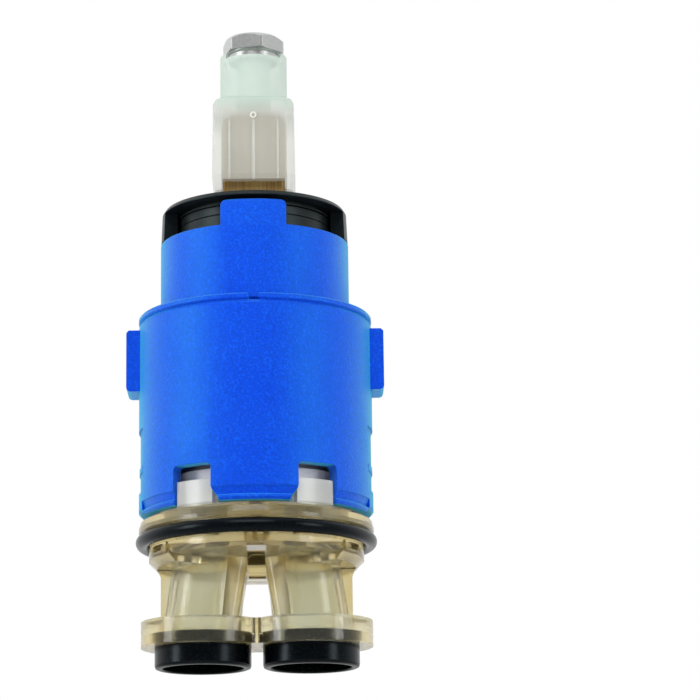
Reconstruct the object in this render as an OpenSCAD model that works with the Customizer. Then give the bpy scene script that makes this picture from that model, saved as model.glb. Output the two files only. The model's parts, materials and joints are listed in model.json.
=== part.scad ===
// Ceramic disc cartridge for a single-lever mixer tap.
// Millimetres, +Z up along the cartridge axis, front (the stop tab) towards -Y.
// The origin is on the axis, in the plane of the inlet seals' lower faces.

/* [Housing] */
// Outside diameter of the main body
body_d = 28; // [27:0.5:31]
// Wall of the main body
body_wall = 1.5; // [1.3:0.1:1.7]
// Height of the main body from the tabs' lower edge to the shoulder
body_h = 23.6; // [23:0.1:28]
// Width of the shoulder, from the body's side to the neck's
shoulder_w = 2.6; // [2.2:0.1:2.8]
// Wall of the neck
neck_wall = 1.5; // [1.2:0.1:1.6]
// Height of the neck above the shoulder
neck_h = 9.9; // [9:0.1:14]
// Height of the stop tab above the neck
stop_tab_h = 3.1; // [2.4:0.1:3.2]
// Half of the angle that the stop tab covers
stop_tab_a = 20; // [12:1:24]
// How far the side keys stand out from the body
key_out = 1.45; // [1:0.05:2.5]
// Width of the side keys
key_w = 5; // [3:0.5:8]
// Height of the side keys
key_h = 7.5; // [6:0.5:12]
// Width of the four windows at the lower edge
window_w = 5.2; // [3:0.1:6]
// Angle of a window's middle from the front
window_a = 32; // [30:0.5:38]
// Height of the windows
window_h = 4.5; // [4:0.1:6]
// Thickness of the split ring on the shoulder
slip_ring_t = 0.8; // [0.4:0.1:1.2]
// Gap in the split ring
slip_ring_gap = 1.25; // [0.6:0.05:3]

/* [Base] */
// Distance of an inlet from the axis
inlet_x = 6.4; // [6.2:0.1:6.8]
// Outside radius of the port plate around an inlet
plate_r = 7.34; // [7.2:0.02:7.8]
// Radius of the fillets at the port plate's waist
waist_fillet_r = 1; // [0.3:0.1:1.5]
// Thickness of the port plate
plate_t = 3; // [2.6:0.1:5]
// Height of the inlet tubes
tube_h = 6.3; // [5:0.5:12]
// Outside radius of an inlet tube at the port plate
tube_r = 4.62; // [4.4:0.02:4.7]
// Height of the drum that carries the O-ring
drum_h = 4.05; // [4:0.05:6]
// How far the drum that carries the O-ring lies inside the body's side
drum_in = 1.2; // [1:0.1:1.8]
// Thickness of the base's flange
flange_t = 1.35; // [1:0.05:2]
// Height of the locating lugs that stand in the windows
lug_h = 3.4; // [2.6:0.1:3.8]

/* [Seals] */
// How far the inlet seals stand below the port plate
seal_stand = 2.5; // [1.5:0.1:3]
// Outside radius of an inlet seal
seal_r = 5.72; // [5.5:0.02:5.9]
// Radius of the hole in an inlet seal
inlet_r = 4.8; // [4.4:0.05:4.9]
// Cord diameter of the base O-ring
base_cord = 1.65; // [1.4:0.05:2]
// Cord diameter of the brake O-ring
brake_cord = 1.3; // [1:0.1:1.4]
// How far the disc seals stand above the base's floor
disc_seal_stand = 0.6; // [0.3:0.1:0.9]

/* [Discs] */
// Thickness of the fixed disc
fixed_disc_t = 4.4; // [4:0.1:6]
// Thickness of the moving disc
moving_disc_t = 3.7; // [3:0.1:5]
// Radius of the moving disc
moving_disc_r = 9.3; // [9:0.1:9.8]
// Radius of the mixing hole in the moving disc
mixing_r = 5.2; // [4.5:0.1:5.4]

/* [Lever] */
// Side of the square spindle
spindle_w = 7.5; // [7:0.1:7.8]
// Tilt of the lever to each side
tilt_a = 12; // [8:0.5:12]
// Turn of the lever to each side
turn_a = 50; // [30:1:52]
// Height of the pivot above the housing's shoulder
pivot_up = 1; // [0.6:0.1:2]
// Distance from the pivot to the middle of the ball end
arm = 9; // [8:0.5:9]
// Radius of the ball end
ball_r = 2.5; // [2.2:0.1:2.8]
// Radius of the pivot pin
pin_r = 1.5; // [1.2:0.1:1.8]
// Side of the sleeve's square part
sleeve_w = 10; // [9.8:0.1:11]
// Diameter of the sleeve's round part
sleeve_d = 8.2; // [8:0.1:9]
// Height of the sleeve's square part
sleeve_square_h = 11.9; // [10:0.1:18]
// Height of the sleeve's round part
sleeve_round_h = 5.5; // [3:0.1:8]
// Gap between the stop ring and the sleeve
sleeve_gap = 1.9; // [1.8:0.1:6]
// Distance across the flats of the screw's head
hex_s = 6.8; // [6:0.1:7]
// Height of the screw's head
hex_h = 2; // [1.6:0.1:3]

/* [Fits] */
// Radial clearance of the turning fits
run_fit = 0.06; // [0.03:0.01:0.1]
// Clearance between pieces that don't rub
loose_fit = 0.1; // [0.05:0.01:0.2]
// Film between sliding faces
film = 0.02; // [0.01:0.01:0.05]

/* [Hidden] */
$fn = 96;
// Heights of the base, from the seals' lower faces upwards
plate_z0 = seal_stand;
plate_z1 = plate_z0 + plate_t;
drum_z0 = plate_z1 + tube_h;
flange_z0 = drum_z0 + drum_h;
floor_z = flange_z0 + flange_t;
cup_h = lug_h - 1;
pocket_d = 0.8;
// Heights of the discs and the driver
fixed_z0 = floor_z + disc_seal_stand;
fixed_z1 = fixed_z0 + fixed_disc_t;
moving_z0 = fixed_z1 + film;
moving_z1 = moving_z0 + moving_disc_t;
driver_z1 = moving_z1 + 2.5;
// Heights of the housing
tab_gap = 0.7;
tab_z0 = floor_z + tab_gap;
shoulder_z = tab_z0 + body_h;
roof_t = 1.5;
roof_z = shoulder_z - roof_t;
neck_z1 = shoulder_z + neck_h;
tab_z1 = neck_z1 + stop_tab_h;
slip_z1 = shoulder_z + slip_ring_t;
// Radii of the housing and what runs in it
body_r = body_d / 2;
bore_r = body_r - body_wall;
neck_r = body_r - shoulder_w;
neck_bore_r = neck_r - neck_wall;
key_r = body_r + key_out;
key_z1 = shoulder_z - 0.9;
key_z0 = key_z1 - key_h;
panel_in = 0.2;
rib_r = body_r - 0.08;
// Carrier and stop ring
glide_t = 0.8;
carrier_z0 = driver_z1 + loose_fit;
carrier_z1 = roof_z - glide_t - 2 * film;
carrier_r = bore_r - loose_fit;
carrier_neck_r = neck_bore_r - run_fit;
band_r = neck_bore_r - 0.7;
hub_r = band_r - 0.45;
post_r = hub_r - 0.55;
ring_r = neck_r - 0.05;
draft = 0.15;
ring_z0 = neck_z1 + 0.2;
band_z1 = neck_z1 + 1.9;
ring_under_z = tab_z1 + 0.55;
ring_t = 0.55;
ring_z1 = ring_under_z + ring_t;
skirt_in = band_r + 0.4;
lip_z0 = ring_under_z - 0.55;
lip_t = 0.2;
lip_groove = 0.12;
skirt_a = stop_tab_a + turn_a + 4;
brake_z = neck_z1 - 4.4;
brake_c_r = neck_bore_r - film - brake_cord / 2;
// Lever
half = spindle_w / 2;
pivot_z = shoulder_z + pivot_up;
ball_z = pivot_z - arm;
travel = arm * tilt_a * PI / 180;
slot_x = half + run_fit;
sleeve_z0 = ring_z1 + sleeve_gap;
sleeve_z1 = sleeve_z0 + sleeve_square_h;
sleeve_z2 = sleeve_z1 + sleeve_round_h;
sleeve_r = sleeve_d / 2;
spindle_z1 = sleeve_z1 - 1.6;
boss_t = 1.1;
hex_z0 = sleeve_z2 + boss_t;
hex_z1 = hex_z0 + hex_h;
screw_r = 2;
screw_in = 7;
washer_r = hex_s / 2 - 0.1;
// Driver
mix_seal_r0 = mixing_r + 1;
mix_seal_w = 1;
mix_seal_h = 0.9;
tower_x = 5.2;
tower_y = 5;
tower_z1 = ball_z + 2;
pocket_z1 = tower_z1 + 0.5;
pocket_y = tower_y + travel + 0.3;
// Ports of the discs, as angles from the front and radii
inlet_a0 = 45;
inlet_a1 = 85;
inlet_r0 = 4.6;
inlet_r1 = 7.2;
outlet_a = 35;
outlet_r0 = 1.6;
outlet_r1 = 6.6;
loop = 0.6;
// Base
flange_r = body_r;
drum_r = body_r - drum_in;
cup_r = bore_r - loose_fit;
cup_bore_r = cup_r - 1.1;
fixed_disc_r = cup_bore_r - loose_fit;
lug_r = body_r - 0.6;
lug_a = asin((window_w - 0.3) / 2 / lug_r);
groove_z0 = floor_z + 0.8;
groove_z1 = groove_z0 + 0.9;
cord_z = flange_z0 - base_cord / 2 - 0.05;
gland_r = drum_r - 0.1;
gland_z0 = cord_z - base_cord / 2 - 0.08;
step_z = drum_z0 + 0.95;
step_a = 52;
seal_top_z = plate_z0 + 1.4;
seal_bead_r = seal_r + 0.32;
tube_top_x = inlet_x - 0.75;
tube_top_r = tube_r - 0.3;
tube_lean = atan((inlet_x - tube_top_x) / tube_h);
seal_lip = 1.3;
flow_r = inlet_r - seal_lip;

// Shared shapes

module block(x0, x1, y0, y1, z0, z1) {
    translate([x0, y0, z0])
        cube([x1 - x0, y1 - y0, z1 - z0]);
}

module disc(r, z0, z1) {
    translate([0, 0, z0])
        cylinder(r = r, h = z1 - z0);
}

module tube(r1, r0, z0, z1) {
    difference() {
        disc(r1, z0, z1);
        disc(r0, z0 - 1, z1 + 1);
    }
}

// Part of a ring; angles run from the front towards +X
module sector(r0, r1, a0, a1, z0, z1) {
    rotate([0, 0, a0 - 90])
        rotate_extrude(angle = a1 - a0)
            translate([r0, z0])
                square([r1 - r0, z1 - z0]);
}

// Upright rectangle with round upper corners, standing on y = 0
module arch(w, h, r) {
    translate([-w / 2, 0])
        square([w, h - r]);
    translate([-w / 2 + r, 0])
        square([w - 2 * r, h]);
    for (s = [-1, 1])
        translate([s * (w / 2 - r), h - r])
            circle(r = r);
}

// Radial cut or block with an arch-shaped front, at an angle from the front
module radial(a, r0, r1, z0, w, h, r) {
    rotate([0, 0, a])
        translate([0, -r0, z0])
            rotate([90, 0, 0])
                linear_extrude(r1 - r0)
                    arch(w, h, r);
}

// Square with cut corners
module cut_square(w, c) {
    h = w / 2;
    polygon([[h - c, -h], [h, c - h], [h, h - c], [h - c, h],
        [c - h, h], [-h, h - c], [-h, c - h], [c - h, -h]]);
}

// Housing

module key_block() {
    translate([0, key_w / 2, 0])
        rotate([90, 0, 0])
            linear_extrude(key_w)
                polygon([[body_r - 1, key_z0], [key_r - 0.45, key_z0], [key_r - 0.12, key_z0 + 0.15],
                    [key_r, key_z0 + 0.5], [key_r, key_z1 - 0.3], [key_r - 0.3, key_z1],
                    [body_r - 1, key_z1]]);
}

// Bevel and lip under a tab, cut away between two angles
module tab_bevel(a0, a1) {
    rotate([0, 0, a0 - 90])
        rotate_extrude(angle = a1 - a0)
            polygon([[body_r + 1.1, tab_z0 + 1.6], [body_r - 0.12, tab_z0 + 1.6],
                [body_r - 0.42, tab_z0 + 0.7], [body_r - 0.15, tab_z0 + 0.55], [body_r - 0.1, tab_z0 + 0.3],
                [body_r - 0.28, tab_z0 + 0.05], [body_r - 0.35, tab_z0 - 1], [body_r + 1.1, tab_z0 - 1]]);
}

// Shorter lower edge with a cut corner, cut away between two angles
module side_edge(a0, a1) {
    rotate([0, 0, a0 - 90])
        rotate_extrude(angle = a1 - a0)
            polygon([[bore_r - 1, tab_z0 - 1], [bore_r - 1, tab_z0 + 0.4], [body_r - 0.3, tab_z0 + 0.4],
                [body_r + 0.3, tab_z0 + 1], [body_r + 1, tab_z0 + 1], [body_r + 1, tab_z0 - 1]]);
}

// Outline of one cut lower corner of the front tab, on the +X side
module tab_corner() {
    x0 = body_r * sin(window_a - asin(window_w / 2 / body_r));
    translate([0, -bore_r + 2, tab_z0])
        rotate([90, 0, 0])
            linear_extrude(body_r - bore_r + 3)
                polygon([[x0 + 0.12, 1.68], [x0 - 0.76, 0.62], [x0 - 0.84, 0.34], [x0 - 1.12, -0.12],
                    [x0 + 1, -0.12], [x0 + 1, 1.68]]);
}

module housing() {
    color([0.03, 0.16, 0.85])
    difference() {
        union() {
            difference() {
                rotate_extrude()
                    polygon([[bore_r, tab_z0], [body_r, tab_z0], [body_r, shoulder_z - 0.35],
                        [body_r - 0.28, shoulder_z], [neck_r - 0.3, shoulder_z],
                        [neck_r - 0.3, slip_z1 + 0.1], [neck_r, slip_z1 + 0.1], [neck_r, neck_z1 - 0.15],
                        [neck_r - draft, tab_z1 - 0.3], [neck_r - draft - 0.2, tab_z1],
                        [neck_bore_r, tab_z1], [neck_bore_r, roof_z], [bore_r, roof_z]]);
                // Shallow panels at both sides
                for (s = [0, 180])
                    sector(body_r - panel_in, body_r + 1, 72 + s, 108 + s, tab_z0 + 2.8, tab_z0 + 10.4);
            }
            // Small cross ribs of the panels, and the keys
            for (s = [0, 180]) {
                sector(body_r - 0.6, rib_r, 74 + s, 106 + s, tab_z0 + 5.15, tab_z0 + 5.85);
                rotate([0, 0, s])
                    key_block();
                // Snap lips that hold the base
                sector(bore_r - 0.35, bore_r + 0.2, s - 18, s + 18, groove_z0 + 0.1, groove_z1 - 0.1);
                sector(bore_r - 0.35, bore_r + 0.2, s + 52, s + 128, groove_z0 + 0.1, groove_z1 - 0.1);
            }
        }
        // All of the neck's upper edge but the stop tab
        difference() {
            disc(neck_r + 2, neck_z1, tab_z1 + 1);
            radial(0, neck_bore_r - 2, neck_r + 3, neck_z1 - 1, 2 * neck_r * sin(stop_tab_a),
                stop_tab_h + 1, 0.7);
        }
        for (a = [window_a, 180 - window_a, 180 + window_a, -window_a])
            radial(a, bore_r - 2, body_r + 2, tab_z0 - 2, window_w, window_h + 2, 0.55);
        for (a = [0, 180]) {
            tab_bevel(a - 24, a + 24);
            tab_bevel(a + 40, a + 74);
            tab_bevel(a + 106, a + 140);
            side_edge(a + 73, a + 107);
            // Cut lower corners of the front and back tabs
            for (s = [0, 1])
                rotate([0, 0, a])
                    mirror([s, 0, 0])
                        tab_corner();
        }
    }
}

module shoulder_slip_ring() {
    color([0.03, 0.14, 0.75])
    difference() {
        rotate_extrude()
            polygon([[neck_r - 0.2, shoulder_z], [body_r - 0.34, shoulder_z],
                [body_r + 0.04, shoulder_z + 0.22], [body_r + 0.04, slip_z1 - 0.15], [body_r - 0.1, slip_z1],
                [neck_r + 0.1, slip_z1], [neck_r - 0.2, slip_z1 - 0.3]]);
        block(-slip_ring_gap / 2, slip_ring_gap / 2, -body_r - 1, 0, shoulder_z - 1, slip_z1 + 1);
    }
}

// Carrier, stop ring and what turns with them

module stop_ring() {
    color([0.1, 0.11, 0.12])
    difference() {
        rotate_extrude()
            polygon([[post_r + 0.05, band_z1], [hub_r, band_z1], [hub_r, band_z1 + lip_groove],
                [band_r - 0.05, band_z1 + lip_groove], [band_r - 0.05, lip_z0 - lip_groove],
                [hub_r, lip_z0 - lip_groove], [hub_r, lip_z0], [band_r + 0.1, lip_z0],
                [band_r + 0.1, lip_z0 + lip_t], [hub_r, lip_z0 + lip_t], [hub_r, ring_under_z],
                [skirt_in, ring_under_z], [skirt_in, ring_z0], [ring_r, ring_z0],
                [ring_r - draft, ring_z1 - 0.45], [ring_r - draft - 0.3, ring_z1],
                [post_r + 0.05, ring_z1]]);
        // Skirt cut away where the housing's stop tab stands
        sector(skirt_in - 0.15, ring_r + 1, -skirt_a, skirt_a, ring_z0 - 1, ring_under_z);
        // Keyways for the carrier's posts
        for (a = [0, 180])
            rotate([0, 0, a])
                block(0, post_r + 0.3, -1.05, 1.05, band_z1 - 1, ring_z1 - 0.5);
    }
}

// Slot in which the lever tilts, wide enough for the spindle at both ends of its range
module lever_slot() {
    wide = half / cos(tilt_a) + 0.2;
    up = (ring_z1 - pivot_z) * tan(tilt_a);
    low = 6.5 * tan(tilt_a);
    translate([-slot_x, 0, 0])
        rotate([90, 0, 90])
            linear_extrude(2 * slot_x)
                polygon([[-wide - low, carrier_z0 - 1], [-wide - low, pivot_z - 6.5], [-wide, pivot_z],
                    [-wide - up, ring_z1], [wide + up, ring_z1], [wide, pivot_z], [wide + low, pivot_z - 6.5],
                    [wide + low, carrier_z0 - 1]]);
}

module lever_carrier() {
    color([0.13, 0.14, 0.15])
    difference() {
        union() {
            rotate_extrude()
                polygon([[0, carrier_z0], [carrier_r - 0.4, carrier_z0], [carrier_r, carrier_z0 + 0.4],
                    [carrier_r, carrier_z1 - 0.3], [carrier_r - 0.3, carrier_z1],
                    [carrier_neck_r, carrier_z1],
                    [carrier_neck_r, neck_z1 - 0.8], [band_r, neck_z1 - 0.3], [band_r, band_z1],
                    [post_r, band_z1], [post_r, ring_z1 - 0.4], [post_r - 0.25, ring_z1 - 0.15],
                    [0, ring_z1 - 0.15]]);
            for (a = [0, 180])
                rotate([0, 0, a])
                    block(post_r - 1, post_r + 0.25, -1, 1, band_z1, ring_z1 - 0.6);
        }
        lever_slot();
        // Pocket in which the driver slides
        block(-tower_x - run_fit, tower_x + run_fit, -pocket_y, pocket_y, carrier_z0 - 1, pocket_z1);
        // Hole of the pivot pin
        translate([-neck_bore_r, 0, pivot_z])
            rotate([0, 90, 0])
                cylinder(r = pin_r, h = 2 * neck_bore_r);
        // Groove of the brake O-ring
        tube(neck_bore_r + 1, brake_c_r - brake_cord / 2 - film, brake_z - brake_cord / 2 - 0.1,
            brake_z + brake_cord / 2 + 0.1);
        // Hollows that keep the walls even
        for (a = [0, 180])
            rotate([0, 0, a])
                block(tower_x + 1.6, carrier_r - 1.6, -5.5, 5.5, carrier_z0 - 1, carrier_z1 - 2.5);
    }
}

module brake_o_ring() {
    color([0.03, 0.03, 0.03])
    rotate_extrude()
        translate([brake_c_r, brake_z])
            circle(d = brake_cord);
}

module carrier_glide_washer() {
    color([0.9, 0.9, 0.86])
    tube(bore_r - 0.2, neck_bore_r + 0.2, roof_z - film - glide_t, roof_z - film);
}

module pivot_pin() {
    long = sqrt(pow(carrier_neck_r, 2) - pow(pin_r, 2)) - 0.15;
    color([0.7, 0.71, 0.72])
    translate([0, 0, pivot_z])
        rotate([0, 90, 0])
            rotate_extrude()
                polygon([[0, -long], [pin_r - 0.25, -long], [pin_r, 0.25 - long], [pin_r, long - 0.25],
                    [pin_r - 0.25, long], [0, long]]);
}

// Lever

module lever_spindle() {
    corner = half * sqrt(2);
    color([0.72, 0.53, 0.25])
    difference() {
        union() {
            // Square bar with a turned upper end
            intersection() {
                translate([0, 0, pivot_z - 5])
                    linear_extrude(spindle_z1 - pivot_z + 5)
                        cut_square(spindle_w, 0.3);
                rotate_extrude()
                    polygon([[0, pivot_z - 5], [half, pivot_z - 5], [corner, pivot_z - 3.6],
                        [corner, spindle_z1 - corner + half - 0.35], [half - 0.35, spindle_z1],
                        [0, spindle_z1]]);
            }
            // Stem and ball end
            disc(ball_r * 0.72, ball_z, pivot_z - 4.5);
            translate([0, 0, ball_z])
                sphere(r = ball_r);
        }
        translate([-spindle_w, 0, pivot_z])
            rotate([0, 90, 0])
                cylinder(r = pin_r + 0.03, h = 2 * spindle_w);
        disc(screw_r, spindle_z1 - screw_in - 1, spindle_z1 + 1);
        // Small flat under the ball
        disc(ball_r, ball_z - ball_r - 1, ball_z - ball_r + 0.12);
    }
}

// Rounded square slab
module pad(w, r, z0, z1) {
    translate([0, 0, z0])
        linear_extrude(z1 - z0) {
            square([w, w - 2 * r], center = true);
            square([w - 2 * r, w], center = true);
            for (x = [-1, 1], y = [-1, 1])
                translate([x * (w / 2 - r), y * (w / 2 - r)])
                    circle(r = r);
        }
}

module lever_sleeve() {
    inner = spindle_w + 0.04;
    window_z = sleeve_z0 + 1.25;
    color([0.88, 0.93, 0.87])
    difference() {
        union() {
            hull() {
                pad(sleeve_w - 0.5, 1.2, sleeve_z0, sleeve_z0 + 0.1, $fn = 32);
                pad(sleeve_w + 0.1, 1.2, sleeve_z0 + 1.9, sleeve_z0 + 2, $fn = 32);
                pad(sleeve_w - 0.15, 1.2, sleeve_z1 - 1, sleeve_z1 - 0.9, $fn = 32);
                pad(sleeve_w - 0.75, 1.1, sleeve_z1 - 0.4, sleeve_z1 - 0.3, $fn = 32);
                pad(sleeve_d + 0.1, 1, sleeve_z1 - 0.1, sleeve_z1, $fn = 32);
            }
            disc(sleeve_r, sleeve_z1 - 1, sleeve_z2);
            // Ears at both sides of the screw's washer
            difference() {
                tube(sleeve_r, sleeve_r - 0.45, sleeve_z2 - 0.5, sleeve_z2 + 0.65);
                block(-washer_r - 0.05, washer_r + 0.05, -sleeve_d, sleeve_d, sleeve_z2, sleeve_z2 + 2);
            }
        }
        // Square socket for the spindle, with relief grooves
        block(-inner / 2, inner / 2, -inner / 2, inner / 2, sleeve_z0 - 1, spindle_z1 + 0.02);
        for (a = [0, 90, 180, 270])
            rotate([0, 0, a]) {
                block(-0.19, 0.19, -inner / 2 - 0.25, 0, sleeve_z0 - 1, spindle_z1 - 0.6);
                for (s = [-1, 1]) {
                    block(s * 2.95 - 0.14, s * 2.95 + 0.14, -inner / 2 - 0.2, 0, sleeve_z0 - 1,
                        spindle_z1 - 1.4);
                    block(s * 3.3 - 0.08, s * 3.3 + 0.08, -inner / 2 - 0.15, 0, sleeve_z0 - 1,
                        spindle_z1 - 1.6);
                }
            }
        // Windows at the front and back, below which the spindle shows
        for (a = [0, 180])
            rotate([0, 0, a])
                block(-inner / 2, inner / 2, -sleeve_w, 0, sleeve_z0 - 1, window_z);
        disc(screw_r + 0.1, sleeve_z0, sleeve_z2 + 1);
        // Gate mark of the moulding
        translate([0, -sleeve_w / 2 + 0.12, spindle_z1 - 1])
            rotate([90, 0, 0])
                tube(0.45, 0.13, 0, 1);
    }
}

module lever_screw() {
    hex_r = hex_s / sqrt(3);
    color([0.62, 0.64, 0.66])
    union() {
        disc(screw_r, spindle_z1 - screw_in, sleeve_z2 + 0.5);
        // Round washer face under the head
        rotate_extrude()
            polygon([[0, sleeve_z2], [washer_r - 0.45, sleeve_z2], [washer_r - 0.24, sleeve_z2 + 0.2],
                [washer_r - 0.24, hex_z0 - 0.25], [washer_r, hex_z0 - 0.05], [washer_r, hex_z0 + 0.1],
                [0, hex_z0 + 0.1]]);
        // Hex head with a turned top
        intersection() {
            rotate([0, 0, 14.8 - 90])
                disc(hex_r, hex_z0, hex_z1, $fn = 6);
            rotate_extrude()
                polygon([[0, hex_z0], [hex_r - 0.25, hex_z0], [hex_r - 0.09, hex_z0 + 0.12],
                    [hex_r - 0.09, hex_z1 - 0.55], [hex_s / 2 - 0.25, hex_z1], [0, hex_z1]]);
        }
    }
}

// Driver and discs

module disc_driver() {
    plate_r = moving_disc_r - 0.1;
    color([0.85, 0.85, 0.8])
    difference() {
        union() {
            disc(plate_r, moving_z1, driver_z1);
            block(-tower_x, tower_x, -tower_y, tower_y, driver_z1 - 0.5, tower_z1);
            // Lugs that take the moving disc along
            for (a = [0, 180])
                rotate([0, 0, a])
                    block(plate_r - 1, plate_r - 0.1, -1.4, 1.4, moving_z1 - 1.8, moving_z1 + 0.5);
        }
        disc(ball_r + run_fit, ball_z - ball_r - 0.2, tower_z1 + 1);
        // Groove of the mixing seal
        tube(mix_seal_r0 + mix_seal_w, mix_seal_r0, moving_z1 - 1, moving_z1 + mix_seal_h);
    }
}

module mixing_seal() {
    color([0.05, 0.05, 0.05])
    tube(mix_seal_r0 + mix_seal_w, mix_seal_r0, moving_z1, moving_z1 + mix_seal_h);
}

module moving_disc() {
    color([0.95, 0.95, 0.93])
    difference() {
        disc(moving_disc_r, moving_z0, moving_z1);
        translate([0, 0.2, 0])
            disc(mixing_r, moving_z0 - 1, moving_z1 + 1);
        for (a = [0, 180])
            rotate([0, 0, a])
                block(moving_disc_r - 1.15, moving_disc_r + 1, -1.45, 1.45, moving_z1 - 1.9, moving_z1 + 1);
    }
}

// The three ports of the fixed disc; a grow of more than zero makes each one wider
module inlet_port(side, grow, z0, z1) {
    mirror([side < 0 ? 1 : 0, 0, 0])
        sector(inlet_r0 - grow, inlet_r1 + grow, inlet_a0 - grow * 10, inlet_a1 + grow * 10, z0, z1);
}

module outlet_port(grow, z0, z1) {
    sector(outlet_r0 - grow, outlet_r1 + grow, 180 - outlet_a - grow * 8, 180 + outlet_a + grow * 8, z0, z1);
}

module fixed_disc() {
    color([0.95, 0.95, 0.93])
    difference() {
        disc(fixed_disc_r, fixed_z0, fixed_z1);
        for (side = [-1, 1]) {
            inlet_port(side, 0, fixed_z0 - 1, fixed_z1 + 1);
            // Notches for the base's locating ribs
            block(side * fixed_disc_r - 0.8, side * fixed_disc_r + 0.8, -1, 1, fixed_z0 - 1, fixed_z1 + 1);
        }
        outlet_port(0, fixed_z0 - 1, fixed_z1 + 1);
    }
}

module disc_seal_inlet(side) {
    difference() {
        inlet_port(side, loop, floor_z - pocket_d, fixed_z0);
        inlet_port(side, 0, floor_z - pocket_d - 1, fixed_z0 + 1);
    }
}

module disc_seal_left() {
    color([0.04, 0.04, 0.04])
    disc_seal_inlet(-1);
}

module disc_seal_right() {
    color([0.04, 0.04, 0.04])
    disc_seal_inlet(1);
}

module disc_seal_outlet() {
    color([0.04, 0.04, 0.04])
    difference() {
        outlet_port(loop, floor_z - pocket_d, fixed_z0);
        outlet_port(0, floor_z - pocket_d - 1, fixed_z0 + 1);
    }
}

// Base

// Figure-of-eight port plate with a tangent fillet at each side of its waist
module plate_outline() {
    fillet_y = sqrt(pow(plate_r + waist_fillet_r, 2) - pow(inlet_x, 2));
    f = plate_r / (plate_r + waist_fillet_r);
    difference() {
        union() {
            for (s = [-1, 1])
                translate([s * inlet_x, 0])
                    circle(r = plate_r);
            square([2 * inlet_x * (1 - f), 2 * fillet_y * f], center = true);
        }
        for (s = [-1, 1])
            translate([0, s * fillet_y])
                circle(r = waist_fillet_r + 0.02);
    }
}

// Leaning inlet tube with its ribs, on the +X side
module inlet_tube() {
    long = tube_h / cos(tube_lean);
    translate([inlet_x, 0, plate_z1])
        rotate([0, -tube_lean, 0])
            translate([0, 0, -1])
                cylinder(r1 = tube_r, r2 = tube_top_r, h = long + 3.2);
    // Slim posts beside the gap between the tubes
    for (s = [-1, 1])
        translate([inlet_x - 2.85, s * 2.6, plate_z1])
            rotate([0, -tube_lean - 2.4, 0])
                translate([0, 0, -1])
                    cylinder(r = 1.45, h = long + 3.2);
    // Flat ridge on the front and back of the tube
    for (s = [-1, 1])
        translate([inlet_x - 1.7, s * 2.2, 0])
            block(-0.35, 0.35, -2.25, 2.25, plate_z1 - 0.5, step_z + 0.5);
    // Outer rib with its gusset
    translate([0, 0.8, 0])
        rotate([90, 0, 0])
            linear_extrude(1.6)
                polygon([[inlet_x + 2, plate_z1 - 0.5], [inlet_x + 4.95, plate_z1 - 0.5],
                    [inlet_x + 4.95, drum_z0 - 0.95], [inlet_x + 5.15, drum_z0 - 0.5],
                    [drum_r - 0.8, drum_z0 + 0.4], [inlet_x + 2, drum_z0 + 0.4]]);
}

// Water way through one inlet tube, from the seal's seat to the port in the floor
module flow_way() {
    translate([inlet_x, 0, plate_z1])
        rotate([0, -tube_lean, 0])
            translate([0, 0, -plate_t])
                cylinder(r1 = flow_r, r2 = flow_r - 0.2, h = tube_h + plate_t + 2.4);
}

// Shallower underside of the drum at the front, cut away between two angles
module drum_step(a0, a1) {
    rotate([0, 0, a0 - 90])
        rotate_extrude(angle = a1 - a0)
            polygon([[0, drum_z0 - 1], [drum_r + 1, drum_z0 - 1], [drum_r + 1, step_z + 1.45],
                [drum_r - 0.45, step_z], [0, step_z]]);
}

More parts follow.
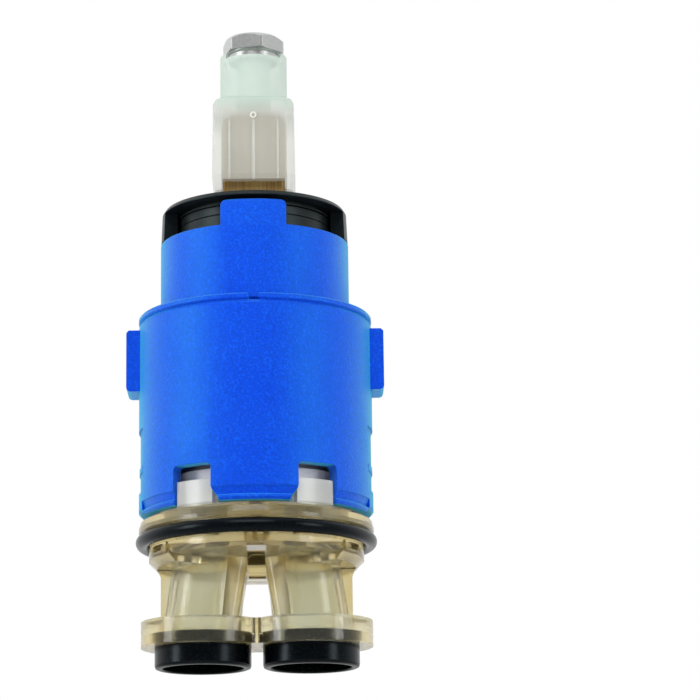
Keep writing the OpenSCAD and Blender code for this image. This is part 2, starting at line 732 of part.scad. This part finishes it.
module base() {
    color([0.85, 0.72, 0.42])
    difference() {
        union() {
            translate([0, 0, plate_z0])
                linear_extrude(plate_t)
                    plate_outline();
            inlet_tube();
            mirror([1, 0, 0])
                inlet_tube();
            // Drum, flange and cup
            difference() {
                rotate_extrude()
                    polygon([[0, drum_z0], [drum_r - 0.9, drum_z0], [drum_r, drum_z0 + 0.9],
                        [drum_r, gland_z0], [gland_r, gland_z0], [gland_r, flange_z0],
                        [flange_r - 0.2, flange_z0], [flange_r, flange_z0 + 0.2], [flange_r, floor_z - 0.7],
                        [flange_r - 0.2, floor_z + 0.05], [flange_r - 0.85, floor_z + 0.5],
                        [cup_r, floor_z + 0.5], [cup_r, floor_z + cup_h], [0, floor_z + cup_h]]);
                drum_step(-step_a, step_a);
            }
            // Lugs that stand in the housing's windows
            for (a = [window_a, 180 - window_a, 180 + window_a, -window_a])
                sector(cup_bore_r + 0.3, lug_r, a - lug_a, a + lug_a, floor_z - 0.8, floor_z + lug_h);
            // Small stops under the O-ring
            for (a = [62, 118, 180, 242, 298])
                sector(drum_r - 0.5, drum_r + 0.3, a - 9, a + 9, step_z + 0.1, gland_z0 - 0.05);
            for (s = [-1, 1])
                sector(drum_r - 0.5, drum_r + 0.8, s * 2.6 - 1.4, s * 2.6 + 1.4, step_z + 0.2,
                    gland_z0 - 0.03);
        }
        // Cup for the fixed disc, leaving two locating ribs
        difference() {
            disc(cup_bore_r, floor_z, floor_z + lug_h + 1);
            for (s = [-1, 1])
                block(s * cup_bore_r - 0.7, s * cup_bore_r + 0.7, -0.9, 0.9, floor_z - 1, floor_z + cup_h);
        }
        // Groove for the housing's snap lips
        for (a = [0, 180]) {
            sector(cup_r - 0.4, cup_r + 0.05, a - 20, a + 20, groove_z0, groove_z1);
            sector(cup_r - 0.4, cup_r + 0.05, a + 50, a + 130, groove_z0, groove_z1);
        }
        // Pockets in the stops under the O-ring
        for (a = [62, 118, 180, 242, 298])
            sector(drum_r - 0.7, drum_r + 1, a - 6, a + 6, step_z + 0.34, gland_z0 - 0.2);
        // Water ways of the inlets
        for (s = [0, 1])
            mirror([s, 0, 0])
                flow_way();
        for (side = [-1, 1]) {
            inlet_port(side, loop, floor_z - pocket_d, floor_z + 1);
            inlet_port(side, -0.1, floor_z - pocket_d - 1.4, floor_z);
            translate([side * inlet_x, 0, 0]) {
                disc(seal_r + 0.04, plate_z0 - 1, plate_z0 + 0.5);
                disc(seal_bead_r + 0.02, plate_z0 + 0.3, seal_top_z);
            }
        }
        // Water way of the outlet, open between the tubes
        outlet_port(loop, floor_z - pocket_d, floor_z + 1);
        outlet_port(-0.2, drum_z0 + 2, floor_z);
        radial(0, -7, 8.4, drum_z0 - 1, 2.1, 3.9, 0.6);
    }
}

module base_o_ring() {
    color([0.03, 0.03, 0.035])
    rotate_extrude()
        translate([gland_r + base_cord / 2 + film, cord_z])
            circle(d = base_cord);
}

module inlet_seal(side) {
    translate([side * inlet_x, 0, 0])
        rotate_extrude()
            polygon([[inlet_r + 0.12, 0], [seal_r - 0.36, 0], [seal_r - 0.1, 0.1], [seal_r, 0.36],
                [seal_r, plate_z0 + 0.32], [seal_bead_r, plate_z0 + 0.32], [seal_bead_r, seal_top_z],
                [inlet_r, seal_top_z], [inlet_r, 0.12]]);
}

module inlet_seal_left() {
    color([0.03, 0.03, 0.035])
    inlet_seal(-1);
}

module inlet_seal_right() {
    color([0.03, 0.03, 0.035])
    inlet_seal(1);
}

housing();
shoulder_slip_ring();
stop_ring();
lever_carrier();
brake_o_ring();
carrier_glide_washer();
pivot_pin();
lever_spindle();
lever_sleeve();
lever_screw();
disc_driver();
mixing_seal();
moving_disc();
fixed_disc();
disc_seal_left();
disc_seal_right();
disc_seal_outlet();
base();
base_o_ring();
inlet_seal_left();
inlet_seal_right();
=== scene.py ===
import json
import math

import bpy
from mathutils import Matrix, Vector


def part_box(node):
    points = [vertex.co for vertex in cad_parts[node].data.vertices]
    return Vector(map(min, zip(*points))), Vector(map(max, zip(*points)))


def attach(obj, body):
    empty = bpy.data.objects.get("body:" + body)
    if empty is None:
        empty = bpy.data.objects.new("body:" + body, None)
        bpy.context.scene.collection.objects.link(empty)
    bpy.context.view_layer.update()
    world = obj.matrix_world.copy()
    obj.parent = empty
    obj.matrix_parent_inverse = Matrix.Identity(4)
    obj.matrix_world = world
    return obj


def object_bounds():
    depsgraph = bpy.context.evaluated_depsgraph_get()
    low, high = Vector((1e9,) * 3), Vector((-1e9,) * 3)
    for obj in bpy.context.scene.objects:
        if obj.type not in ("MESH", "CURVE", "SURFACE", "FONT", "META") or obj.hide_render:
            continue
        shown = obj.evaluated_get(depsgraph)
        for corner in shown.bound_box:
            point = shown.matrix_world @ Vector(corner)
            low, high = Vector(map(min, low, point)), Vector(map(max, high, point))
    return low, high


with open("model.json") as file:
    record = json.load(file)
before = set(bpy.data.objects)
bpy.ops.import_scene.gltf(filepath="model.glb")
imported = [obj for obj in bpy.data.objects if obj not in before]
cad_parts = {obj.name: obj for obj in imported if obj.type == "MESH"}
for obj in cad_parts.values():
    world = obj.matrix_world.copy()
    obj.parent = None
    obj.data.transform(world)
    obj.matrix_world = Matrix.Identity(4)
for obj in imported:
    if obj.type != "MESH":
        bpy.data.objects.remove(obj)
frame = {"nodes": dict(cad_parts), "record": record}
cad_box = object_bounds()

MM = 0.001

# Camera: below the cartridge's foot, looking up at its front
CAMERA_POS = (4.7 * MM, -348.5 * MM, -42.6 * MM)
CAMERA_PITCH = math.radians(13.1)
CAMERA_YAW = math.radians(1.11)
CAMERA_ROLL = math.radians(-0.8)
CAMERA_LENS = 152.1
CAMERA_SENSOR = 36.0
CAMERA_NEAR = 10 * MM

# Floor: a disc that fades out with the distance from its middle, and mirrors less light in front
FLOOR_R = 0.32
FLOOR_Z = -0.05 * MM
FLOOR_SIDES = 96
FLOOR_FADE = (0.10, 0.30)
FLOOR_SPAN = (-0.06, 0.04)
FLOOR_TONES = ((0.86, 0.86, 0.86), (0.88, 0.88, 0.88))
FLOOR_ROUGHNESS = 0.9

# Light: an even fill on matt surfaces, and a white backdrop that is dim on the camera's side
WHITE = (1, 1, 1, 1)
FILL_STRENGTH = 0.55
FRONT_STRENGTH = 0.1
SCREEN_SPAN = (-0.5, 0.3)

# Lamps: name, azimuth and elevation in degrees, distance, width and height, watts
SOFTBOXES = (
    ("left_softbox", -66, 0, 0.42, (0.12, 0.42), 0.95),
    ("right_softbox", 54, 0, 0.42, (0.12, 0.42), 0.7),
    ("top_softbox", -6, 46, 0.5, (0.3, 0.3), 0.9),
)

# Places on the CAD nodes that the finishes and the sleeve's details follow
seal_low, seal_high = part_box("inlet_seal_right")
disc_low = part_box("fixed_disc")[0]
spindle_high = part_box("lever_spindle")[1]
sleeve_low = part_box("lever_sleeve")[0]

# Amber base: the seats of the inlet seals, the tubes with what is beside and above them, where shade is
# painted, and the lugs, where light is painted
SEAT_Z = (seal_high.z - 0.2 * MM, seal_high.z + 0.4 * MM)
TUBE_X = (seal_low.x + seal_high.x) / 2
TUBE_SIDE = (2.4 * MM, 5.0 * MM)
TUBE_TOP_Z = (10.5 * MM, 12.5 * MM)
LUG_Z = (disc_low.z - 0.5 * MM, disc_low.z + 0.2 * MM)

# Milky sleeve: thin around the spindle, thick from its top upwards
THICK_Z = (spindle_high.z - 1.3 * MM, spindle_high.z + 1.7 * MM)

# Fine lines moulded into the sleeve's four socket walls, with the place and width of each
RIB_X = 2.95 * MM
RIBS = ((-RIB_X, 0.26 * MM), (0.0, 0.36 * MM), (RIB_X, 0.26 * MM))
RIB_Y = (spindle_high.x + 0.04 * MM, spindle_high.x + 0.16 * MM)
RIB_Z = (sleeve_low.z + 1.35 * MM, spindle_high.z - 1.2 * MM)
RIB_END = 0.3 * MM
RIB_TAPER = 0.4
RIB_TOP = 0.6

# Ring of the sleeve's moulding gate, with the radius of the ring and of its bead
GATE_PLACE = (0.0, sleeve_low.y + 0.07 * MM, spindle_high.z - 1.0 * MM)
GATE_R = (0.31 * MM, 0.12 * MM)
GATE_STEPS = 36
GATE_SIDES = 12

# Range in which most of a noise texture's values lie
NOISE_SPAN = (0.3, 0.7)
BEVEL_SAMPLES = 4


class Tree:
    """A node tree, with short calls for the nodes that the finishes, the floor and the backdrop share."""

    def __init__(self, tree):
        self.tree = tree
        self.nodes = tree.nodes

    def node(self, kind, inputs=None, **settings):
        made = self.nodes.new(kind)
        for key, value in settings.items():
            setattr(made, key, value)
        for key, value in (inputs or {}).items():
            self.feed(value, made.inputs[key])
        return made

    def feed(self, value, socket):
        """Link an output to the socket, or set the socket to a plain value."""
        if isinstance(value, bpy.types.NodeSocket):
            self.tree.links.new(value, socket)
        else:
            socket.default_value = value

    def along(self, vector, axis):
        return self.node("ShaderNodeSeparateXYZ", {"Vector": vector}).outputs[axis]

    def span(self, value, low, high, to_low=0.0, to_high=1.0):
        inputs = {"Value": value, "From Min": low, "From Max": high, "To Min": to_low, "To Max": to_high}
        return self.node("ShaderNodeMapRange", inputs).outputs["Result"]

    def math(self, operation, a, b=0.0):
        return self.node("ShaderNodeMath", {0: a, 1: b}, operation=operation).outputs["Value"]

    def mix(self, share, first, second):
        return self.node("ShaderNodeMixShader", {0: share, 1: first, 2: second}).outputs["Shader"]

    def ray(self, *kinds):
        """1 for a ray of any of these kinds, 0 for others."""
        path = self.node("ShaderNodeLightPath").outputs
        found = path[f"Is {kinds[0]} Ray"]
        for kind in kinds[1:]:
            found = self.math("MAXIMUM", found, path[f"Is {kind} Ray"])
        return found


class Shader(Tree):
    """A material with one Principled shader, placed by the object's own coordinates."""

    def __init__(self, name):
        self.material = bpy.data.materials.new(name)
        self.material.use_nodes = True
        super().__init__(self.material.node_tree)
        self.bsdf = self.nodes["Principled BSDF"]
        self.place = self.node("ShaderNodeTexCoord").outputs["Object"]

    def set(self, **inputs):
        for key, value in inputs.items():
            self.feed(value, self.bsdf.inputs[key.replace("_", " ")])

    def stretched(self, scale):
        return self.node("ShaderNodeMapping", {"Vector": self.place, "Scale": scale}).outputs["Vector"]

    def noise(self, scale, detail=2.0, roughness=0.5, vector=None):
        inputs = {"Vector": vector or self.place, "Scale": scale, "Detail": detail, "Roughness": roughness}
        return self.node("ShaderNodeTexNoise", inputs).outputs["Fac"]

    def ramp(self, value, *stops):
        made = self.node("ShaderNodeValToRGB", {"Fac": value})
        elements = made.color_ramp.elements
        while len(elements) < len(stops):
            elements.new(0.5)
        for element, (place, colour) in zip(elements, stops):
            element.position = place
            element.color = (*colour, 1)
        return made.outputs["Color"]

    def tone(self, noise, first, second):
        """Colour that wanders between two with a noise."""
        return self.ramp(noise, (NOISE_SPAN[0], first), (NOISE_SPAN[1], second))

    def vary(self, noise, low, high):
        """Number that wanders between two with a noise."""
        return self.span(noise, *NOISE_SPAN, low, high)

    def bump(self, height, depth, strength=1.0, edge=0.0):
        """Relief of the given depth, on edges that are rounded by the given radius."""
        inputs = {"Height": height, "Strength": strength, "Distance": depth}
        if edge:
            bevel = self.node("ShaderNodeBevel", {"Radius": edge}, samples=BEVEL_SAMPLES)
            inputs["Normal"] = bevel.outputs["Normal"]
        self.set(Normal=self.node("ShaderNodeBump", inputs).outputs["Normal"])


# Finishes, one function for each material slot of the record and one for the sleeve's fine lines


def blue_plastic():
    """Grained, with a hazy sheen towards its sides."""
    s = Shader("blue_plastic")
    grain = s.noise(3500, 4, 0.7)
    cloud = s.noise(160)
    s.set(
        Base_Color=s.ramp(
            grain,
            (0.34, (0.0, 0.002, 0.58)),
            (0.52, (0.0, 0.008, 0.78)),
            (0.68, (0.002, 0.07, 0.9)),
        ),
        Roughness=s.vary(cloud, 0.38, 0.48),
        Specular_IOR_Level=1.0,
        Specular_Tint=(0.1, 1.0, 0.74, 1),
        Sheen_Weight=0.9,
        Sheen_Roughness=0.43,
        Sheen_Tint=(0.12, 1.0, 0.85, 1),
    )
    s.bump(grain, 0.06 * MM, 0.9, edge=0.12 * MM)
    return s.material


def dark_plastic():
    s = Shader("dark_plastic")
    grain = s.noise(4200, 3, 0.6)
    s.set(
        Base_Color=s.tone(grain, (0.003, 0.005, 0.006), (0.012, 0.017, 0.019)),
        Roughness=s.vary(grain, 0.34, 0.46),
        Specular_IOR_Level=0.35,
        Specular_Tint=(0.8, 1.0, 1.0, 1),
    )
    s.bump(grain, 0.02 * MM, 0.5, edge=0.1 * MM)
    return s.material


def rubber():
    s = Shader("rubber")
    grain = s.noise(2600, 3, 0.55)
    s.set(
        Base_Color=s.tone(grain, (0.0012, 0.002, 0.003), (0.003, 0.0045, 0.006)),
        Roughness=s.vary(grain, 0.2, 0.28),
        Specular_IOR_Level=0.16,
        Specular_Tint=(0.75, 0.92, 1.0, 1),
    )
    s.bump(grain, 0.004 * MM, 0.2, edge=0.08 * MM)
    return s.material


def amber_plastic():
    """Pale at the tubes; darker beside them and above, partly deeper amber and partly painted shade; clear
    around the seals; milky in the lugs, painted lighter to stand in for the lit disc behind them.
    """
    s = Shader("amber_plastic")
    frost = s.noise(2400, 3, 0.6)
    cloud = s.noise(140)
    height = s.along(s.place, "Z")
    lugs = s.span(height, *LUG_Z)
    # Darker above the tubes and beside them: partly the deeper amber of thicker plastic, partly painted
    # shade under the O-ring and housing and beside the tubes.
    amber_and_shade_above = s.span(height, *TUBE_TOP_Z, 0.0, 0.36)
    from_axis = s.math("ABSOLUTE", s.along(s.place, "X"))
    from_tube = s.math("ABSOLUTE", s.math("SUBTRACT", from_axis, TUBE_X))
    amber_and_shade_beside = s.span(from_tube, *TUBE_SIDE, 0.0, 0.48)
    # The noise gives random tone. The lug band adds painted light for the lit disc behind the lugs. The
    # bands above and beside the tubes take away painted shade along with deeper amber.
    tone_and_painted_light = s.math("SUBTRACT", s.math("ADD", cloud, lugs), s.math("ADD", amber_and_shade_above, amber_and_shade_beside))
    clear_foot = s.span(height, *SEAT_Z, 0.97, 0.84)
    clear_lugs = s.span(lugs, 0.0, 1.0, 1.0, 0.55)
    s.set(
        Base_Color=s.ramp(
            s.math("MULTIPLY", tone_and_painted_light, 0.5),
            (0.0, (0.79, 0.66, 0.33)),
            (0.16, (0.82, 0.8, 0.6)),
            (0.35, (0.875, 0.875, 0.74)),
            (0.5, (0.94, 0.96, 0.93)),
        ),
        Roughness=s.vary(frost, 0.12, 0.19),
        Transmission_Weight=s.math("MINIMUM", clear_foot, clear_lugs),
        IOR=1.45,
    )
    return s.material


def milky_plastic():
    """Cloudy over the screw, where the wall is thick, and thinner around the square socket."""
    s = Shader("milky_plastic")
    frost = s.noise(1800)
    cloud = s.noise(170)
    thick = s.span(s.along(s.place, "Z"), *THICK_Z)
    s.set(
        Base_Color=s.ramp(
            s.math("MULTIPLY", s.math("ADD", cloud, thick), 0.5),
            (0.15, (0.74, 0.74, 0.67)),
            (0.35, (0.79, 0.8, 0.73)),
            (0.65, (0.64, 0.77, 0.68)),
            (0.85, (0.72, 0.83, 0.75)),
        ),
        Roughness=s.vary(frost, 0.36, 0.46),
        Specular_IOR_Level=0.3,
        Alpha=s.span(thick, 0.0, 1.0, 0.36, 0.7),
    )
    return s.material


def milky_ribs():
    """The sleeve's plastic again, denser in the fine lines that catch the light."""
    s = Shader("milky_ribs")
    frost = s.noise(1800)
    s.set(
        Base_Color=s.tone(frost, (0.86, 0.86, 0.81), (0.93, 0.93, 0.88)),
        Roughness=s.vary(frost, 0.3, 0.4),
        Specular_IOR_Level=0.3,
        Alpha=0.74,
    )
    return s.material


def white_plastic():
    s = Shader("white_plastic")
    grain = s.noise(2200, 3)
    s.set(
        Base_Color=s.tone(grain, (0.78, 0.78, 0.73), (0.86, 0.86, 0.82)),
        Roughness=s.vary(grain, 0.36, 0.48),
    )
    s.bump(grain, 0.01 * MM, 0.4)
    return s.material


def ceramic():
    s = Shader("ceramic")
    speck = s.noise(3200, 4, 0.65)
    s.set(
        Base_Color=s.ramp(speck, (0.3, (0.84, 0.86, 0.86)), (0.65, (0.94, 0.96, 0.96))),
        Roughness=s.vary(speck, 0.24, 0.4),
    )
    s.bump(speck, 0.01 * MM, 0.4, edge=0.08 * MM)
    return s.material


def brass():
    """Drawn bar, with strokes along its length."""
    s = Shader("brass")
    strokes = s.noise(1.0, 3, 0.6, vector=s.stretched((5200, 5200, 110)))
    s.set(
        Base_Color=s.ramp(
            strokes,
            (0.25, (0.24, 0.145, 0.045)),
            (0.5, (0.38, 0.245, 0.09)),
            (0.8, (0.56, 0.4, 0.17)),
        ),
        Roughness=s.vary(strokes, 0.3, 0.46),
        Metallic=1.0,
    )
    s.bump(strokes, 0.01 * MM, 0.4, edge=0.08 * MM)
    return s.material


def steel():
    s = Shader("steel")
    grain = s.noise(3800, 3, 0.6)
    s.set(
        Base_Color=s.tone(grain, (0.54, 0.555, 0.55), (0.66, 0.67, 0.66)),
        Roughness=s.vary(grain, 0.36, 0.44),
        Metallic=1.0,
    )
    s.bump(grain, 0.004 * MM, 0.3, edge=0.1 * MM)
    return s.material


FINISHES = {
    make.__name__: make()
    for make in (blue_plastic, dark_plastic, rubber, amber_plastic, milky_plastic, milky_ribs,
                 white_plastic, ceramic, brass, steel)
}


def dress(obj, finish):
    obj.data.materials.clear()
    obj.data.materials.append(FINISHES[finish])


for part in frame["record"]["subparts"]:
    dress(frame["nodes"][part["node"]], part["material_slot"])


# Pieces that the scene adds


def link(obj):
    bpy.context.scene.collection.objects.link(obj)
    return obj


def add_piece(name, verts, faces, body, slot, finish):
    mesh = bpy.data.meshes.new(name)
    mesh.from_pydata(verts, [], faces)
    mesh.validate()
    piece = link(bpy.data.objects.new(name, mesh))
    dress(piece, finish)
    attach(piece, body)
    return piece


def rib(place, width, turn):
    """One slim bar with a narrower top and tapered ends, on the socket wall at the given quarter turn."""
    low, high = RIB_Y
    profile = ((-0.5, low), (0.5, low), (0.5 * RIB_TOP, high), (-0.5 * RIB_TOP, high))
    start, end = RIB_Z
    levels = ((start, RIB_TAPER), (start + RIB_END, 1.0), (end - RIB_END, 1.0), (end, RIB_TAPER))
    verts = []
    for z, share in levels:
        for across, y in profile:
            x, y = place + across * width * share, -y
            for _ in range(turn):
                x, y = -y, x
            verts.append((x, y, z))
    count = len(profile)
    last = count * (len(levels) - 1)
    faces = [tuple(reversed(range(count))), tuple(range(last, last + count))]
    for level in range(0, last, count):
        for i in range(count):
            k = (i + 1) % count
            faces.append((level + i, level + k, level + count + k, level + count + i))
    return verts, faces


def ring(place, big, small):
    """Round bead in a wall that looks at the front."""
    verts, faces = [], []
    for i in range(GATE_STEPS):
        a = 2 * math.pi * i / GATE_STEPS
        for j in range(GATE_SIDES):
            b = 2 * math.pi * j / GATE_SIDES
            r = big + small * math.cos(b)
            verts.append((
                place[0] + r * math.cos(a),
                place[1] + small * math.sin(b),
                place[2] + r * math.sin(a),
            ))
            here, there = i * GATE_SIDES, (i + 1) % GATE_STEPS * GATE_SIDES
            k = (j + 1) % GATE_SIDES
            faces.append((here + j, here + k, there + k, there + j))
    return verts, faces


def add_sleeve_details():
    verts, faces = [], []
    for turn in range(4):
        for place, width in RIBS:
            more, sides = rib(place, width, turn)
            faces += [[len(verts) + i for i in side] for side in sides]
            verts += more
    add_piece("sleeve_ribs", verts, faces, "lever", "milky_plastic", "milky_ribs")
    add_piece("sleeve_gate_ring", *ring(GATE_PLACE, *GATE_R), "lever", "milky_plastic", "milky_ribs")


add_sleeve_details()


# Studio: camera, floor, lamps and backdrop


def add_camera():
    data = bpy.data.cameras.new("camera")
    data.sensor_width = CAMERA_SENSOR
    data.sensor_height = CAMERA_SENSOR
    data.sensor_fit = "HORIZONTAL"
    data.lens = CAMERA_LENS
    data.clip_start = CAMERA_NEAR
    camera = link(bpy.data.objects.new("camera", data))
    camera.matrix_world = (
        Matrix.Translation(CAMERA_POS)
        @ Matrix.Rotation(-CAMERA_YAW, 4, "Z")
        @ Matrix.Rotation(math.pi / 2 + CAMERA_PITCH, 4, "X")
        @ Matrix.Rotation(CAMERA_ROLL, 4, "Z")
    )
    bpy.context.scene.camera = camera


def floor_material():
    """Pale floor, seen from above only, that mirrors like the backdrop and fades into it at its rim."""
    s = Shader("floor")
    s.set(Base_Color=s.tone(s.noise(60), *FLOOR_TONES), Roughness=FLOOR_ROUGHNESS)
    glow = s.span(s.along(s.place, "Y"), *FLOOR_SPAN, FRONT_STRENGTH, 1.0)
    white = s.node("ShaderNodeEmission", {"Color": WHITE, "Strength": glow}).outputs["Emission"]
    seen = s.mix(s.ray("Glossy", "Transmission"), s.bsdf.outputs["BSDF"], white)
    away = s.node("ShaderNodeVectorMath", {0: s.place}, operation="LENGTH").outputs["Value"]
    below = s.node("ShaderNodeNewGeometry").outputs["Backfacing"]
    gone = s.math("MAXIMUM", below, s.span(away, *FLOOR_FADE))
    clear = s.node("ShaderNodeBsdfTransparent").outputs["BSDF"]
    s.feed(s.mix(gone, seen, clear), s.nodes["Material Output"].inputs["Surface"])
    return s.material


def add_floor():
    angles = [2 * math.pi * i / FLOOR_SIDES for i in range(FLOOR_SIDES)]
    rim = [(FLOOR_R * math.cos(a), FLOOR_R * math.sin(a), FLOOR_Z) for a in angles]
    mesh = bpy.data.meshes.new("floor")
    mesh.from_pydata(rim, [], [list(range(FLOOR_SIDES))])
    floor = link(bpy.data.objects.new("floor", mesh))
    floor.data.materials.append(floor_material())


def add_softbox(name, azimuth, elevation, distance, size, power):
    """Area lamp that looks at the middle of the cartridge; azimuth 0 is the front, 90 the right."""
    data = bpy.data.lights.new(name, "AREA")
    data.shape = "RECTANGLE"
    data.size, data.size_y = size
    data.energy = power
    lamp = link(bpy.data.objects.new(name, data))
    middle = (cad_box[0] + cad_box[1]) / 2
    lamp.matrix_world = (
        Matrix.Translation(middle)
        @ Matrix.Rotation(math.radians(azimuth), 4, "Z")
        @ Matrix.Rotation(math.pi / 2 - math.radians(elevation), 4, "X")
        @ Matrix.Translation((0, 0, distance))
    )
    lamp.visible_camera = False


def add_world():
    """White backdrop, dimmer on the side in front of the cartridge, where a studio has no screen."""
    world = bpy.data.worlds.new("studio")
    world.use_nodes = True
    bpy.context.scene.world = world
    t = Tree(world.node_tree)
    fill = t.nodes["Background"]
    t.feed(WHITE, fill.inputs["Color"])
    t.feed(FILL_STRENGTH, fill.inputs["Strength"])
    direction = t.node("ShaderNodeTexCoord").outputs["Generated"]
    screen = t.span(t.along(direction, "Y"), *SCREEN_SPAN, FRONT_STRENGTH, 1.0)
    strength = t.math("MAXIMUM", t.ray("Camera"), screen)
    backdrop = t.node("ShaderNodeBackground", {"Color": WHITE, "Strength": strength})
    shown = t.mix(
        t.ray("Camera", "Glossy", "Transmission"),
        fill.outputs["Background"],
        backdrop.outputs["Background"],
    )
    t.feed(shown, t.nodes["World Output"].inputs["Surface"])


add_camera()
add_floor()
for softbox in SOFTBOXES:
    add_softbox(*softbox)
add_world()
bpy.context.scene.view_settings.view_transform = "Standard"
